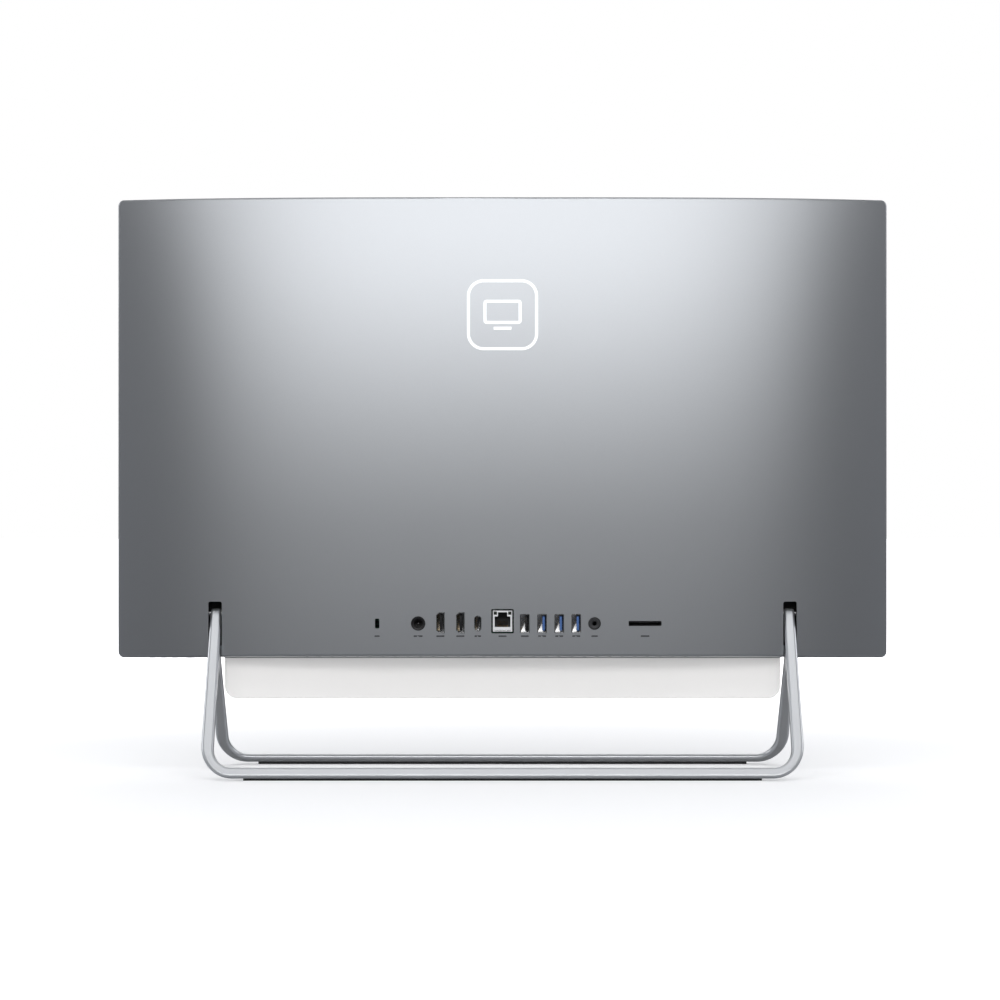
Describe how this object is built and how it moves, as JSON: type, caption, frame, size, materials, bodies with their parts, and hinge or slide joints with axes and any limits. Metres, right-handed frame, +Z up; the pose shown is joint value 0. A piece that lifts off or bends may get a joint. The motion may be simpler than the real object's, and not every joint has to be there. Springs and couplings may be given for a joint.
{
  "type": "all-in-one desktop computer",
  "caption": "All-in-one desktop computer with a pillow-shaped silver back, a slim loudspeaker bar and an easel stand of two U-shaped legs, the rear one hinged.",
  "frame": {"origin": "centre of the footprint on the table", "axes": "+Z up, the screen faces -Y, +X to the right seen from the front"},
  "size_m": [0.6134, 0.1626, 0.4562],
  "materials": {
    "silver_cover": "satin silver paint",
    "emblem_white": "gloss",
    "front_glass": "polished",
    "lcd_panel": "semi-gloss",
    "leg_aluminium": "satin anodised",
    "foot_rubber": "matte",
    "pearl_silver": "satin pearl",
    "grille_black": "matte",
    "sheet_steel": "galvanised",
    "anchor_steel": "satin",
    "fastener_steel": "machined",
    "inner_black": "matte",
    "camera_black": "satin",
    "lens_glass": "polished",
    "circuit_board": "solder mask",
    "socket_steel": "nickel plated",
    "network_grey": "matte",
    "jack_black": "semi-gloss",
    "copper": "bright copper",
    "fin_aluminium": "bare",
    "cell_steel": "bright"
  },
  "bodies": {
    "display": {"antennas": "copper", "back_cover": "silver_cover", "base_plate": "sheet_steel", "board_standoffs": "fastener_steel", "button_board": "circuit_board", "camera_guide": "inner_black", "card_reader": "socket_steel", "chassis_screws": "fastener_steel", "coin_cell": "cell_steel", "cold_plate": "copper", "drive_caddy": "sheet_steel", "emblem_badge": "emblem_white", "fan_housing": "inner_black", "front_foot_strip": "foot_rubber", "front_glass": "front_glass", "front_leg_frame": "leg_aluminium", "hard_drive": "fin_aluminium", "hdmi_in_port": "socket_steel", "hdmi_out_port": "socket_steel", "headphone_jack": "jack_black", "heat_pipes": "copper", "heat_sink_fins": "fin_aluminium", "hinge_bracket_left": "sheet_steel", "hinge_bracket_right": "sheet_steel", "lcd_panel": "lcd_panel", "leg_anchor_left": "anchor_steel", "leg_anchor_right": "anchor_steel", "memory_module_1": "circuit_board", "memory_module_2": "circuit_board", "middle_frame": "silver_cover", "network_port": "network_grey", "power_jack": "jack_black", "processor": "fin_aluminium", "security_lock_plate": "sheet_steel", "slot_liner_left": "inner_black", "slot_liner_right": "inner_black", "solid_state_drive": "circuit_board", "soundbar_grille": "grille_black", "soundbar_housing": "pearl_silver", "speaker_left": "inner_black", "speaker_right": "inner_black", "stand_screws": "fastener_steel", "system_board": "circuit_board", "usb2_port": "socket_steel", "usb3_port_1": "socket_steel", "usb3_port_2": "socket_steel", "usb3_port_3": "socket_steel", "usb_c_port": "socket_steel", "wireless_card": "circuit_board"},
    "rear_leg": {"rear_leg_frame": "leg_aluminium", "rear_foot_strip": "foot_rubber", "hinge_shafts": "fastener_steel", "friction_washers": "fastener_steel"},
    "fan_rotor": {"fan_impeller": "inner_black"},
    "camera": {"camera_housing": "camera_black", "camera_lens": "lens_glass"},
    "power_key": {"power_button": "silver_cover"},
    "input_key": {"input_button": "silver_cover"},
    "brightness_down_key": {"brightness_down_button": "silver_cover"},
    "brightness_up_key": {"brightness_up_button": "silver_cover"}
  },
  "joints": [
    {"name": "rear_leg_hinge", "type": "hinge", "parent": "display", "child": "rear_leg", "pos_m": [0, 0.01194, 0.127], "axis": [1, 0, 0], "range_deg": [-15, 45]},
    {"name": "fan_spin", "type": "hinge", "parent": "display", "child": "fan_rotor", "pos_m": [0.152, 0.00794, 0.33], "axis": [0, 1, 0], "continuous": true},
    {"name": "camera_slide", "type": "slide", "parent": "display", "child": "camera", "axis": [0, 0, 1], "range_m": [0, 0.016]},
    {"name": "power_press", "type": "slide", "parent": "display", "child": "power_key", "axis": [0, 0, 1], "range_m": [0, 0.0006], "stiffness_N_per_m": 500, "springref_m": -0.0005},
    {"name": "input_press", "type": "slide", "parent": "display", "child": "input_key", "axis": [0, 0, 1], "range_m": [0, 0.0006], "stiffness_N_per_m": 500, "springref_m": -0.0005},
    {"name": "brightness_down_press", "type": "slide", "parent": "display", "child": "brightness_down_key", "axis": [0, 0, 1], "range_m": [0, 0.0006], "stiffness_N_per_m": 500, "springref_m": -0.0005},
    {"name": "brightness_up_press", "type": "slide", "parent": "display", "child": "brightness_up_key", "axis": [0, 0, 1], "range_m": [0, 0.0006], "stiffness_N_per_m": 500, "springref_m": -0.0005}
  ]
}
